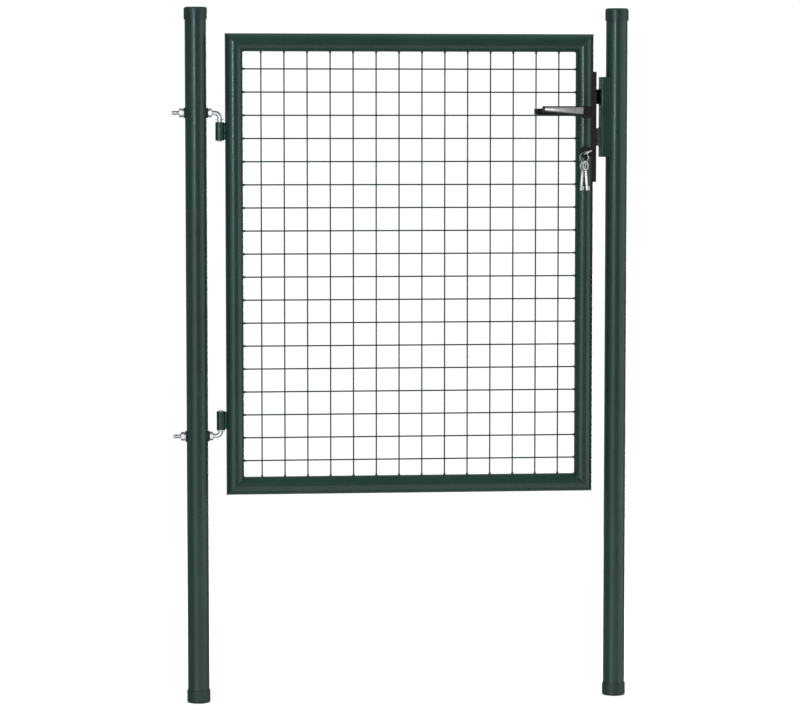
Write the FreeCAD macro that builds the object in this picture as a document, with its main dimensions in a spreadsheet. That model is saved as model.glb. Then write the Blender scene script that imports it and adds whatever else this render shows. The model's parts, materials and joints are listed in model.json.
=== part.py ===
import FreeCAD, Part
import Sketcher
import math
import os

# Garden gate: two round posts and a welded-mesh leaf in a tube frame, with hook hinges and a
# lock. +X runs from the hinge post to the latch post, -Y is the front (the side with the key)
# and +Z is up. The origin is the centre of the hinge post's foot. Millimetres and degrees.

V = FreeCAD.Vector
X_AXIS = V(1, 0, 0)
Y_AXIS = V(0, 1, 0)
Z_AXIS = V(0, 0, 1)

doc = FreeCAD.newDocument("garden_gate")
sheet = doc.addObject("Spreadsheet::Sheet", "Dims")
sub_parts = []


class Size:
    """A number together with the sheet expression that gives it."""

    def __init__(self, value, text):
        self.value = value
        self.text = text

    def __add__(self, other):
        other = as_size(other)
        return Size(self.value + other.value, f"({self.text} + {other.text})")

    def __sub__(self, other):
        other = as_size(other)
        return Size(self.value - other.value, f"({self.text} - {other.text})")

    def __rsub__(self, other):
        return as_size(other) - self

    def __mul__(self, other):
        other = as_size(other)
        return Size(self.value * other.value, f"({self.text} * {other.text})")

    def __truediv__(self, other):
        other = as_size(other)
        return Size(self.value / other.value, f"({self.text} / {other.text})")

    def __neg__(self):
        return Size(-self.value, f"(0 - {self.text})")

    __radd__ = __add__
    __rmul__ = __mul__


def as_size(number):
    if isinstance(number, Size):
        return number
    return Size(float(number), f"({float(number)!r})")


def root(size):
    return Size(math.sqrt(size.value), f"sqrt({size.text})")


def chord(radius, offset):
    """How far a circle's edge is from its centre line, at an offset to the side."""
    return root(radius * radius - offset * offset)


def dim(alias, value):
    row = len(sizes) + 1
    sizes[alias] = value
    sheet.set(f"A{row}", alias)
    sheet.set(f"B{row}", str(value))
    sheet.setAlias(f"B{row}", alias)
    return Size(float(value), f"Dims.{alias}")


sizes = {}

# Posts and caps
post_spacing = dim("post_spacing", 918)
post_d = dim("post_d", 47)
post_wall = dim("post_wall", 1.5)
post_length = dim("post_length", 1500)
cap_d = dim("cap_d", 51)
cap_height = dim("cap_height", 26.5)
cap_top = dim("cap_top", 6)
cap_round = dim("cap_round", 3)

# Leaf frame
leaf_left = dim("leaf_left", 62.6)
leaf_width = dim("leaf_width", 804)
leaf_bottom = dim("leaf_bottom", 455)
leaf_height = dim("leaf_height", 1001)
tube_d = dim("tube_d", 39)
tube_wall = dim("tube_wall", 1.5)
corner_bead_d = dim("corner_bead_d", 6)

# Mesh
pitch = dim("pitch", 50)
wire_d = dim("wire_d", 2.5)
first_wire_x = dim("first_wire_x", 140.5)
first_wire_z = dim("first_wire_z", 529.5)
nugget_d = dim("nugget_d", 5)
nugget_length = dim("nugget_length", 5)
upright_count = 14
level_count = 18

# Hinges
pin_x = dim("pin_x", 51.1)
rod_d = dim("rod_d", 10)
bend_radius = dim("bend_radius", 11)
rod_end_x = dim("rod_end_x", -52)
rod_bore_d = dim("rod_bore_d", 10.6)
sleeve_d = dim("sleeve_d", 19)
sleeve_bore_d = dim("sleeve_bore_d", 10.1)
sleeve_height = dim("sleeve_height", 40)
collar_d = dim("collar_d", 18)
collar_height = dim("collar_height", 2)
collar_seat = dim("collar_seat", 0.1)
upper_rod_z = dim("upper_rod_z", 1284.7)
lower_rod_z = dim("lower_rod_z", 584.2)
upper_sleeve_z = dim("upper_sleeve_z", 1225)
lower_sleeve_z = dim("lower_sleeve_z", 598)
upper_collar_gap = dim("upper_collar_gap", 4)
pin_proud = dim("pin_proud", 2.2)
web_thickness = dim("web_thickness", 6.8)
web_inset = dim("web_inset", 2)
nut_across = dim("nut_across", 17)
nut_height = dim("nut_height", 8.4)
nut_face_share = dim("nut_face_share", 0.95)
thread_gap = dim("thread_gap", 0.05)
washer_d = dim("washer_d", 20)
washer_height = dim("washer_height", 2)
saddle_width = dim("saddle_width", 20)
saddle_height = dim("saddle_height", 22)
saddle_wall = dim("saddle_wall", 2.5)

# Keeper on the latch post
strike_x = dim("strike_x", 881)
strike_wall = dim("strike_wall", 2)
strike_width = dim("strike_width", 39)
strike_z = dim("strike_z", 1189)
strike_height = dim("strike_height", 174)
strike_round = dim("strike_round", 4)
strike_window_gap = dim("strike_window_gap", 2.7)
strike_bead_d = dim("strike_bead_d", 4)
strike_bead_length = dim("strike_bead_length", 24)

# Lock
forend_x = dim("forend_x", 872.3)
forend_z = dim("forend_z", 1134.5)
forend_height = dim("forend_height", 240)
forend_width = dim("forend_width", 24)
forend_wall = dim("forend_wall", 2)
forend_round = dim("forend_round", 2.5)
window_gap = dim("window_gap", 0.3)
case_depth = dim("case_depth", 15.8)
case_width = dim("case_width", 16)
case_wall = dim("case_wall", 1.2)
case_z = dim("case_z", 1156)
case_height = dim("case_height", 196)
case_gap = dim("case_gap", 0.4)
screw_inset = dim("screw_inset", 9)
screw_d = dim("screw_d", 5)
screw_head_d = dim("screw_head_d", 9)
screw_length = dim("screw_length", 16)
screw_slot = dim("screw_slot", 1.2)
rivet_d = dim("rivet_d", 3)
rivet_back = dim("rivet_back", 11)
rivet_low = dim("rivet_low", 8)
rivet_middle = dim("rivet_middle", 114)
rivet_high = dim("rivet_high", 190)
keyhole_gap = dim("keyhole_gap", 0.4)

# Spindle, follower and levers
spindle_z = dim("spindle_z", 1286.3)
spindle_side = dim("spindle_side", 8)
spindle_gap = dim("spindle_gap", 0.1)
spindle_length = dim("spindle_length", 98)
follower_d = dim("follower_d", 22)
follower_width = dim("follower_width", 10)
journal_d = dim("journal_d", 16)
journal_gap = dim("journal_gap", 0.05)
nose_reach = dim("nose_reach", 20)
nose_width = dim("nose_width", 4)
nose_depth = dim("nose_depth", 6)
nose_tilt = dim("nose_tilt", 20)
lever_hub_d = dim("lever_hub_d", 26)
lever_neck_d = dim("lever_neck_d", 18)
lever_length = dim("lever_length", 101)
lever_tip_height = dim("lever_tip_height", 13)
lever_root_height = dim("lever_root_height", 19.5)
lever_thickness = dim("lever_thickness", 14)
lever_front_y = dim("lever_front_y", 68)
lever_round = dim("lever_round", 1.6)
insert_inset = dim("insert_inset", 2.2)
insert_depth = dim("insert_depth", 1.5)
insert_end = dim("insert_end", 84)
rear_droop = dim("rear_droop", 3)
rose_d = dim("rose_d", 27)
rose_y = dim("rose_y", 23.5)
rose_gap = dim("rose_gap", 0.3)
stile_hole_d = dim("stile_hole_d", 20)
key_rose_d = dim("key_rose_d", 27)
key_rose_y = dim("key_rose_y", 22)
grub_d = dim("grub_d", 4)
grub_offset = dim("grub_offset", 12)

# Latch bolt and dead bolt
latch_z = dim("latch_z", 1304)
latch_height = dim("latch_height", 32)
latch_width = dim("latch_width", 12)
latch_throw = dim("latch_throw", 13)
latch_tail_x = dim("latch_tail_x", 846.6)
latch_lug = dim("latch_lug", 3)
latch_lug_z = dim("latch_lug_z", 1301)
tail_width = dim("tail_width", 6)
dead_z = dim("dead_z", 1213)
dead_height = dim("dead_height", 39)
dead_width = dim("dead_width", 10)
dead_throw = dim("dead_throw", 16.5)
dead_tail_x = dim("dead_tail_x", 849.5)
notch_width = dim("notch_width", 7.2)
notch_depth = dim("notch_depth", 6)
notch_gap = dim("notch_gap", 1)
flange_front = dim("flange_front", 12)
spring_wire = dim("spring_wire", 0.6)
strip_width = dim("strip_width", 4)
strip_gap = dim("strip_gap", 0.4)
strip_thickness = dim("strip_thickness", 0.5)

# Keys and ring
key_z = dim("key_z", 1199.5)
shank_d = dim("shank_d", 6)
shank_gap = dim("shank_gap", 0.1)
bit_reach = dim("bit_reach", 9.3)
bit_wall = dim("bit_wall", 2)
bit_length = dim("bit_length", 8)
key_tip_y = dim("key_tip_y", 5)
key_length = dim("key_length", 66)
bow_width = dim("bow_width", 21.6)
bow_rim = dim("bow_rim", 3)
key_angle = dim("key_angle", 28)
ring_d = dim("ring_d", 24)
ring_wire = dim("ring_wire", 1.8)
ring_twist = dim("ring_twist", 44)
ring_drop = dim("ring_drop", 3.2)
spare_spread = dim("spare_spread", 2.6)
spare_tilt = dim("spare_tilt", 5)

doc.recompute()

stile_x = leaf_left + leaf_width - tube_d / 2
hinge_stile_x = leaf_left + tube_d / 2
leaf_top = leaf_bottom + leaf_height
post_top = cap_top + post_length
ZERO = as_size(0)

ALONG = {
    "+x": FreeCAD.Rotation(Y_AXIS, 90),
    "-x": FreeCAD.Rotation(Y_AXIS, -90),
    "+y": FreeCAD.Rotation(X_AXIS, -90),
    "-y": FreeCAD.Rotation(X_AXIS, 90),
    "+z": FreeCAD.Rotation(),
}


def bind(obj, values):
    for path, size in values.items():
        obj.setExpression(path, as_size(size).text)
    return obj


def at(obj, x=ZERO, y=ZERO, z=ZERO, rotation=FreeCAD.Rotation()):
    """Place an object at a point given by sizes, turned by a fixed rotation."""
    obj.Placement = FreeCAD.Placement(V(), rotation)
    return bind(obj, {"Placement.Base.x": x, "Placement.Base.y": y, "Placement.Base.z": z})


def cylinder(name, radius, length, x, y, z, along="+z"):
    obj = doc.addObject("Part::Cylinder", name)
    bind(obj, {"Radius": radius, "Height": length})
    return at(obj, x, y, z, ALONG[along])


def cone(name, radius_1, radius_2, length, x, y, z, along="+z"):
    obj = doc.addObject("Part::Cone", name)
    bind(obj, {"Radius1": radius_1, "Radius2": radius_2, "Height": length})
    return at(obj, x, y, z, ALONG[along])


def box(name, low, high):
    """A block between two corners."""
    obj = doc.addObject("Part::Box", name)
    low = [as_size(value) for value in low]
    high = [as_size(value) for value in high]
    bind(obj, {"Length": high[0] - low[0], "Width": high[1] - low[1], "Height": high[2] - low[2]})
    return at(obj, *low)


def joined(name, pieces):
    obj = doc.addObject("Part::MultiFuse", name)
    obj.Shapes = pieces
    return obj


def cut(name, base, tools):
    obj = doc.addObject("Part::Cut", name)
    obj.Base = base
    obj.Tool = tools[0] if len(tools) == 1 else joined(name + "_tools", tools)
    return obj


def common(name, pieces):
    obj = doc.addObject("Part::MultiCommon", name)
    obj.Shapes = pieces
    return obj


def group(name, pieces):
    obj = doc.addObject("Part::Compound", name)
    obj.Links = pieces
    return obj


def rounded(name, base, radius, wanted):
    """Round the edges whose middle point passes the test."""
    doc.recompute()
    picked = []
    for number, edge in enumerate(base.Shape.Edges, start=1):
        middle = edge.valueAt((edge.FirstParameter + edge.LastParameter) / 2)
        if wanted(edge, middle):
            picked.append((number, radius.value, radius.value))
    obj = doc.addObject("Part::Fillet", name)
    obj.Base = base
    obj.Edges = picked
    return obj


def finished(obj, label):
    obj.Label = label
    sub_parts.append(obj)
    return obj


def new_body(name, rotation=FreeCAD.Rotation(), x=ZERO, y=ZERO, z=ZERO):
    body = doc.addObject("PartDesign::Body", name)
    body.AllowCompound = True
    return at(body, x, y, z, rotation)


def plane_of(body, role):
    return next(item for item in body.Origin.OriginFeatures if item.Role == role)


def outline(body, name, role, points):
    """A closed sketch through points given as pairs of sizes, each tied to the sheet."""
    sketch = body.newObject("Sketcher::SketchObject", name)
    sketch.AttachmentSupport = [(plane_of(body, role), "")]
    sketch.MapMode = "FlatFace"
    corners = [(as_size(a), as_size(b)) for a, b in points]
    count = len(corners)
    for index in range(count):
        start = corners[index]
        end = corners[(index + 1) % count]
        line = Part.LineSegment(V(start[0].value, start[1].value), V(end[0].value, end[1].value))
        sketch.addGeometry(line)
    for index in range(count):
        sketch.addConstraint(Sketcher.Constraint("Coincident", index, 2, (index + 1) % count, 1))
    for index, corner in enumerate(corners):
        for kind, size in zip(("DistanceX", "DistanceY"), corner):
            number = sketch.addConstraint(Sketcher.Constraint(kind, -1, 1, index, 1, size.value))
            sketch.setExpression(f"Constraints[{number}]", size.text)
    return sketch


def pad(body, name, sketch, length, midplane=False, backwards=False):
    feature = body.newObject("PartDesign::Pad", name)
    feature.Profile = sketch
    feature.Midplane = midplane
    feature.Reversed = backwards
    bind(feature, {"Length": length})
    body.Tip = feature
    return feature


def revolve(body, name, sketch, axis_role):
    feature = body.newObject("PartDesign::Revolution", name)
    feature.Profile = sketch
    feature.ReferenceAxis = (plane_of(body, axis_role), [""])
    feature.Angle = 360
    body.Tip = feature
    return feature


def pattern(body, name, feature, axis_role, count, step):
    """Repeat a feature at an even step along one of the body's axes."""
    repeat = body.newObject("PartDesign::LinearPattern", name)
    repeat.Originals = [feature]
    repeat.Direction = (plane_of(body, axis_role), [""])
    repeat.Occurrences = count
    bind(repeat, {"Length": step * (count - 1)})
    body.Tip = repeat
    return repeat


def hollow_bar(name, outer_d, wall, length, x, y, z, along="+z"):
    outer = cylinder(name + "_outer", outer_d / 2, length, x, y, z, along)
    inner = cylinder(name + "_inner", outer_d / 2 - wall, length, x, y, z, along)
    return cut(name, outer, [inner])


# ---------------------------------------------------------------- posts and caps

def make_post(label, x, bores):
    tube = hollow_bar(label + "_tube", post_d, post_wall, post_length, x, ZERO, cap_top)
    if not bores:
        return finished(tube, label)
    drills = []
    for index, z in enumerate(bores):
        name = f"{label}_drill_{index}"
        drills.append(cylinder(name, rod_bore_d / 2, post_d * 2, x - post_d, ZERO, z, "+x"))
    return finished(cut(label + "_drilled", tube, drills), label)


def make_cap(label, x, z, rotation):
    """A turned cap: a disc that closes the tube's end and a skirt over its outside."""
    body = new_body(label + "_body", rotation, x, ZERO, z)
    outer = cap_d / 2
    inner = post_d / 2
    skirt = cap_height - cap_top
    profile = outline(body, label + "_profile", "XZ_Plane", [
        (0, 0), (inner, 0), (inner, -skirt), (outer, -skirt),
        (outer, cap_top - cap_round), (outer - cap_round, cap_top), (0, cap_top)])
    blank = revolve(body, label + "_turned", profile, "Z_Axis")
    doc.recompute()
    edges = []
    bevel_ends = (cap_top.value, cap_top.value - cap_round.value)
    for number, edge in enumerate(blank.Shape.Edges, start=1):
        radius = edge.BoundBox.XMax
        on_bevel = any(abs(edge.BoundBox.ZMax - end) < 0.01 for end in bevel_ends)
        if on_bevel and radius > inner.value - cap_round.value and edge.BoundBox.ZLength < 0.01:
            edges.append(f"Edge{number}")
    fillet = body.newObject("PartDesign::Fillet", label + "_edge")
    fillet.Base = (blank, edges)
    bind(fillet, {"Radius": cap_round / 2})
    body.Tip = fillet
    return finished(body, label)


make_post("hinge_post", ZERO, [upper_rod_z, lower_rod_z])
make_post("latch_post", post_spacing, [])
UPSIDE_DOWN = FreeCAD.Rotation(X_AXIS, 180)
for post_name, post_x in (("hinge_post", ZERO), ("latch_post", post_spacing)):
    make_cap(post_name + "_top_cap", post_x, post_top, FreeCAD.Rotation())
    make_cap(post_name + "_foot_cap", post_x, cap_top, UPSIDE_DOWN)


# ---------------------------------------------------------------- hinge hooks and their nuts

def make_hook(label, rod_z, pin_end_z, collar_z, rotation):
    """A threaded rod bent through a quarter circle into the hinge pin, with a collar on it."""
    length = pin_x - bend_radius - rod_end_x
    rod = cylinder(label + "_rod", rod_d / 2, length, rod_end_x, ZERO, rod_z, "+x")
    bend = doc.addObject("Part::Torus", label + "_bend")
    bind(bend, {"Radius1": bend_radius, "Radius2": rod_d / 2, "Angle3": 90})
    direction = 1 if pin_end_z.value > rod_z.value else -1
    at(bend, pin_x - bend_radius, ZERO, rod_z + direction * bend_radius, rotation)
    low = rod_z + bend_radius if direction > 0 else pin_end_z
    high = pin_end_z if direction > 0 else rod_z - bend_radius
    pin = cylinder(label + "_pin", rod_d / 2, high - low, pin_x, ZERO, low)
    collar = cylinder(label + "_collar", collar_d / 2, collar_height, pin_x, ZERO, collar_z)
    whole = joined(label + "_whole", [rod, bend, pin, collar])
    end = pin_end_z.value

    def at_pin_end(edge, middle):
        return abs(edge.BoundBox.ZMax - end) < 0.01 and abs(edge.BoundBox.ZMin - end) < 0.01

    return finished(rounded(label + "_eased", whole, as_size(1), at_pin_end), label)


# A quarter of the torus, turned so that it joins the rod's end to the pin's foot or head.
BEND_UP = FreeCAD.Rotation(X_AXIS, 90) * FreeCAD.Rotation(Z_AXIS, -90)
BEND_DOWN = FreeCAD.Rotation(X_AXIS, 90)
upper_sleeve_top = upper_sleeve_z + sleeve_height
lower_sleeve_top = lower_sleeve_z + sleeve_height
make_hook("upper_hinge_hook", upper_rod_z, upper_sleeve_z - pin_proud,
          upper_sleeve_top + upper_collar_gap, BEND_DOWN)
make_hook("lower_hinge_hook", lower_rod_z, lower_sleeve_top + pin_proud,
          lower_sleeve_z - collar_seat - collar_height, BEND_UP)


def hexagon(name, across, length, x, z, along):
    prism = doc.addObject("Part::Prism", name)
    prism.Polygon = 6
    bind(prism, {"Circumradius": across / math.sqrt(3), "Height": length})
    return at(prism, x, ZERO, z, ALONG[along])


def make_nut(name, x, z):
    """A hexagon nut along X, with both faces chamfered, on a rod at height z."""
    prism = hexagon(name + "_prism", nut_across, nut_height, x, z, "+x")
    edge_d = nut_across * nut_face_share
    slope = nut_height * 2
    blank = common(name + "_blank", [
        prism,
        cone(name + "_left", edge_d / 2, edge_d / 2 + slope, slope, x, ZERO, z, "+x"),
        cone(name + "_right", edge_d / 2, edge_d / 2 + slope, slope, x + nut_height, ZERO, z, "-x")])
    bore = cylinder(name + "_bore", rod_d / 2 + thread_gap, nut_height, x, ZERO, z, "+x")
    return cut(name, blank, [bore])


def make_saddle(name, side, z):
    """A plastic pad with a hollow that fits the post on one side and a flat on the other."""
    far = post_d / 2 + saddle_wall
    near = chord(post_d / 2, saddle_width / 2)
    half_y = saddle_width / 2
    half_z = saddle_height / 2
    low_x, high_x = (near, far) if side > 0 else (-far, -near)
    block = box(name + "_block", (low_x, -half_y, z - half_z), (high_x, half_y, z + half_z))
    post_space = cylinder(name + "_hollow", post_d / 2, saddle_height * 2, ZERO, ZERO, z - saddle_height)
    bore = cylinder(name + "_bore", rod_d / 2 + thread_gap, post_d * 2, -post_d, ZERO, z, "+x")
    return cut(name, block, [post_space, bore])


saddle_face = post_d / 2 + saddle_wall
nuts = []
washers = []
saddles = []
for place_name, rod_z in (("upper", upper_rod_z), ("lower", lower_rod_z)):
    nuts.append(make_nut(place_name + "_inner_nut", saddle_face, rod_z))
    nuts.append(make_nut(place_name + "_outer_nut", -saddle_face - washer_height - nut_height, rod_z))
    start_x = -saddle_face - washer_height
    disc = cylinder(place_name + "_disc", washer_d / 2, washer_height, start_x, ZERO, rod_z, "+x")
    bore = cylinder(place_name + "_disc_bore", rod_d / 2 + thread_gap, washer_height,
                    start_x, ZERO, rod_z, "+x")
    washers.append(cut(place_name + "_washer", disc, [bore]))
    for side in (1, -1):
        saddles.append(make_saddle(f"{place_name}_saddle_{'inner' if side > 0 else 'outer'}", side, rod_z))
finished(group("nuts_group", nuts), "hook_nuts")
finished(group("washers_group", washers), "hook_washers")
finished(group("saddles_group", saddles), "saddle_washers")


# ---------------------------------------------------------------- keeper on the latch post

def make_strike():
    """A folded channel whose two edges meet the latch post, with a window for each bolt."""
    far = post_spacing - chord(post_d / 2, strike_width / 2)
    half = strike_width / 2
    block = box("strike_block", (strike_x, -half, strike_z), (far + 4, half, strike_z + strike_height))
    front = strike_x.value

    def is_fold(edge, middle):
        return edge.BoundBox.ZLength > 100 and abs(middle.x - front) < 0.01

    outside = rounded("strike_outside", block, strike_round, is_fold)
    space = box("strike_space",
                (strike_x + strike_wall, strike_wall - half, strike_z),
                (far + 9, half - strike_wall, strike_z + strike_height))
    space_front = (strike_x + strike_wall).value

    def is_inner_fold(edge, middle):
        return edge.BoundBox.ZLength > 100 and abs(middle.x - space_front) < 0.01

    inside = rounded("strike_inside", space, strike_round - strike_wall, is_inner_fold)
    post_space = cylinder("strike_post_space", post_d / 2, strike_height * 1.2,
                          post_spacing, ZERO, strike_z - strike_height * 0.1)
    windows = []
    for name, low, height, width in (("latch", latch_z, latch_height, latch_width),
                                     ("dead", dead_z, dead_height, dead_width)):
        gap = strike_window_gap
        windows.append(box(f"strike_{name}_window",
                           (strike_x - 1, -width / 2 - gap, low - gap),
                           (strike_x + strike_wall + 1, width / 2 + gap, low + height + gap)))
    return finished(cut("strike", outside, [inside, post_space] + windows), "strike_box")


make_strike()


def make_strike_welds():
    """Short weld beads in the corner between the keeper's sides and the post."""
    beads = []
    bead_length = strike_bead_length
    half = strike_width / 2
    touch_x = post_spacing - chord(post_d / 2, half)
    for side in (-1, 1):
        for index, part_way in enumerate((0.12, 0.5, 0.88)):
            name = f"strike_bead_{'front' if side < 0 else 'back'}_{index}"
            low = strike_z + strike_height * part_way - bead_length / 2
            bead = cylinder(name + "_round", strike_bead_d / 2, bead_length, touch_x, half * side, low)
            keep_out = [
                cylinder(name + "_post", post_d / 2, bead_length * 2, post_spacing, ZERO, low - 10),
                box(name + "_side", (strike_x, -half, low - 10), (touch_x + 9, half, low + bead_length + 10))]
            beads.append(cut(name, bead, keep_out))
    return finished(group("strike_beads", beads), "strike_welds")


make_strike_welds()


# ---------------------------------------------------------------- leaf frame

def mitre_block(name, corner_x, corner_z, turn):
    """A large block on the waste side of the mitre plane through a corner of the frame.

    The mitre plane halves its underside, and turn leans it over towards the waste.
    """
    size = tube_d * 2
    obj = doc.addObject("Part::Box", name)
    bind(obj, {"Length": size * 2, "Width": size, "Height": size})
    lean = math.radians(turn)
    return at(obj, corner_x - size * math.cos(lean), -tube_d, corner_z + size * math.sin(lean),
              FreeCAD.Rotation(Y_AXIS, turn))


def make_frame_tube(label, along, x, z, length, mitres, holes):
    tube = hollow_bar(label + "_tube", tube_d, tube_wall, length, x, ZERO, z, along)
    corners = [mitre_block(f"{label}_mitre_{index}", *mitre) for index, mitre in enumerate(mitres)]
    return finished(cut(label + "_cut", tube, corners + holes), label)


left = leaf_left + tube_d / 2
right = stile_x
bottom = leaf_bottom + tube_d / 2
top = leaf_top - tube_d / 2

# Each mitre is a corner of the frame and the lean of its waste side.
make_frame_tube("hinge_stile", "+z", left, leaf_bottom, leaf_height,
                [(left, top, 45), (left, bottom, 135)], [])
make_frame_tube("top_rail", "+x", leaf_left, top, leaf_width,
                [(left, top, -135), (right, top, 135)], [])
make_frame_tube("bottom_rail", "+x", leaf_left, bottom, leaf_width,
                [(left, bottom, -45), (right, bottom, 45)], [])

case_front_x = forend_x - forend_wall
screw_places = [("low", forend_z + screw_inset), ("high", forend_z + forend_height - screw_inset)]
lock_holes = [
    box("stile_case_slot",
        (stile_x, -case_width / 2 - case_gap, case_z - case_gap),
        (stile_x + tube_d, case_width / 2 + case_gap, case_z + case_height + case_gap)),
    cylinder("stile_spindle_hole", stile_hole_d / 2, tube_d * 2, stile_x, -tube_d, spindle_z, "+y"),
    cylinder("stile_key_hole", shank_d * 1.2, tube_d * 2, stile_x, -tube_d, key_z, "+y"),
    box("stile_bit_hole",
        (stile_x - bit_wall, -tube_d, key_z - bit_reach - 1),
        (stile_x + bit_wall, tube_d, key_z))]
for hole_name, hole_z in screw_places:
    lock_holes.append(cylinder(f"stile_screw_hole_{hole_name}", screw_d / 2, tube_d,
                               stile_x, ZERO, hole_z, "+x"))
make_frame_tube("lock_stile", "+z", right, leaf_bottom, leaf_height,
                [(right, top, -45), (right, bottom, -135)], lock_holes)


def make_corner_welds():
    """A small fillet of weld in the inner corner of each mitre."""
    beads = []
    half = tube_d / 2
    reach = corner_bead_d
    places = [("low_left", left, bottom, 1, 1), ("low_right", right, bottom, -1, 1),
              ("high_left", left, top, 1, -1), ("high_right", right, top, -1, -1)]
    for name, x, z, side, up in places:
        ball = doc.addObject("Part::Sphere", name + "_ball")
        bind(ball, {"Radius": corner_bead_d / 2})
        inner_x = x + half * side
        inner_z = z + half * up
        at(ball, inner_x, ZERO, inner_z)
        upright = cylinder(name + "_upright", half, reach * 2, x, ZERO, inner_z - reach)
        level = cylinder(name + "_level", half, reach * 2, inner_x - reach, ZERO, z, "+x")
        beads.append(cut(name + "_bead", ball, [upright, level]))
    return finished(group("corner_beads", beads), "corner_welds")


make_corner_welds()


# ---------------------------------------------------------------- mesh

def make_wires(label, rotation, x, y, z, length, role, count, flat_gap):
    """Wires with a weld nugget at each end, repeated at the mesh's pitch.

    The profile is drawn once, turned about the wire's own axis, and patterned.
    """
    body = new_body(label + "_body", rotation, x, y, z)
    slim = wire_d / 2
    wide = nugget_d / 2
    end = length - flat_gap
    profile = outline(body, label + "_profile", "XZ_Plane", [
        (0, flat_gap), (wide, flat_gap), (slim, flat_gap + nugget_length),
        (slim, end - nugget_length), (wide, end), (0, end)])
    first = revolve(body, label + "_wire", profile, "Z_Axis")
    doc.recompute()
    pattern(body, label + "_row", first, role, count, pitch)
    return finished(body, label)


tube_half = tube_d / 2
# The nugget's flat end stops where its rim meets the round of the tube.
nugget_side = wire_d / 2 + nugget_d / 2
flat_gap = tube_half - chord(tube_half, nugget_side)
inner_low = leaf_bottom + tube_d
inner_left = leaf_left + tube_d
make_wires("vertical_wires", FreeCAD.Rotation(), first_wire_x, wire_d / 2, inner_low - flat_gap,
           leaf_height - tube_d * 2 + flat_gap * 2, "X_Axis", upright_count, flat_gap)
make_wires("horizontal_wires", ALONG["+x"], inner_left - flat_gap, -wire_d / 2,
           first_wire_z + pitch * (level_count - 1),
           leaf_width - tube_d * 2 + flat_gap * 2, "X_Axis", level_count, flat_gap)


# ---------------------------------------------------------------- hinge sleeves

def make_sleeve(label, z):
    outer = cylinder(label + "_outer", sleeve_d / 2, sleeve_height, pin_x, ZERO, z)
    bore = cylinder(label + "_bore", sleeve_bore_d / 2, sleeve_height, pin_x, ZERO, z)
    return finished(cut(label + "_bored", outer, [bore]), label)


make_sleeve("upper_hinge_sleeve", upper_sleeve_z)
make_sleeve("lower_hinge_sleeve", lower_sleeve_z)


def make_sleeve_welds():
    """A bead down each side of the sleeves, in the valley between sleeve and stile."""
    beads = []
    half = web_thickness / 2
    valley_x = (pin_x + sleeve_d / 2 + hinge_stile_x - tube_d / 2) / 2
    for name, z in (("upper", upper_sleeve_z), ("lower", lower_sleeve_z)):
        bead = box(name + "_web",
                   (valley_x - half, -half, z + web_inset),
                   (valley_x + half, half, z + sleeve_height - web_inset))
        keep_out = [
            cylinder(name + "_web_sleeve", sleeve_d / 2, sleeve_height, pin_x, ZERO, z),
            cylinder(name + "_web_stile", tube_d / 2, sleeve_height, hinge_stile_x, ZERO, z)]
        beads.append(cut(name + "_sleeve_bead", bead, keep_out))
    return finished(group("sleeve_beads", beads), "sleeve_welds")


make_sleeve_welds()


# ---------------------------------------------------------------- lock case and forend

def bolt_windows(prefix, low_x, high_x, gap):
    windows = []
    for name, low, height, width in (("latch", latch_z, latch_height, latch_width),
                                     ("dead", dead_z, dead_height, dead_width)):
        windows.append(box(f"{prefix}_{name}_window",
                           (low_x, -width / 2 - gap, low - gap),
                           (high_x, width / 2 + gap, low + height + gap)))
    return windows


def make_forend():
    """A folded channel over the stile's cut-out, with its two lips on the round of the tube."""
    half = forend_width / 2
    lip_x = stile_x + chord(tube_d / 2, half)
    block = box("forend_block", (lip_x, -half, forend_z), (forend_x, half, forend_z + forend_height))
    front = forend_x.value

    def is_fold(edge, middle):
        return edge.BoundBox.ZLength > 100 and abs(middle.x - front) < 0.01

    outside = rounded("forend_outside", block, forend_round, is_fold)
    space = box("forend_space",
                (lip_x - 1, forend_wall - half, forend_z),
                (forend_x - forend_wall, half - forend_wall, forend_z + forend_height))
    stile_space = cylinder("forend_stile_space", tube_d / 2, forend_height, stile_x, ZERO, forend_z)
    windows = bolt_windows("forend", forend_x - forend_wall * 2, forend_x + 1, window_gap)
    tools = [space, stile_space] + windows
    for name, z in screw_places:
        tools.append(cone(f"forend_sink_{name}", screw_d / 2, screw_head_d / 2, forend_wall,
                          forend_x - forend_wall, ZERO, z, "+x"))
    return finished(cut("forend", outside, tools), "lock_forend")


make_forend()


def make_forend_screws():
    screws = []
    half_slot = screw_slot / 2
    for name, z in screw_places:
        head = cone(f"screw_head_{name}", screw_d / 2, screw_head_d / 2, forend_wall,
                    forend_x - forend_wall, ZERO, z, "+x")
        shank = cylinder(f"screw_shank_{name}", screw_d / 2, screw_length,
                         forend_x - forend_wall - screw_length, ZERO, z, "+x")
        slot = box(f"screw_slot_{name}",
                   (forend_x - 1, -screw_head_d, z - half_slot), (forend_x + 1, screw_head_d, z + half_slot))
        screws.append(cut(f"screw_{name}", joined(f"screw_blank_{name}", [head, shank]), [slot]))
    return finished(group("screws_group", screws), "forend_screws")


make_forend_screws()

case_back_x = stile_x - case_depth
case_half = case_width / 2


def shaft_holes(prefix, low_y, length):
    """The openings in a side of the case: the follower's bearing and the keyhole."""
    return [
        cylinder(f"{prefix}_bearing", journal_d / 2 + journal_gap, length, stile_x, low_y, spindle_z, "+y"),
        cylinder(f"{prefix}_key_round", shank_d / 2 + shank_gap, length, stile_x, low_y, key_z, "+y"),
        box(f"{prefix}_key_slot",
            (stile_x - bit_wall / 2 - keyhole_gap, low_y, key_z - bit_reach - keyhole_gap),
            (stile_x + bit_wall / 2 + keyhole_gap, low_y + length, key_z))]


def rivet_places():
    return [("low", case_z + rivet_low), ("middle", case_z + rivet_middle), ("high", case_z + rivet_high)]


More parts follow.
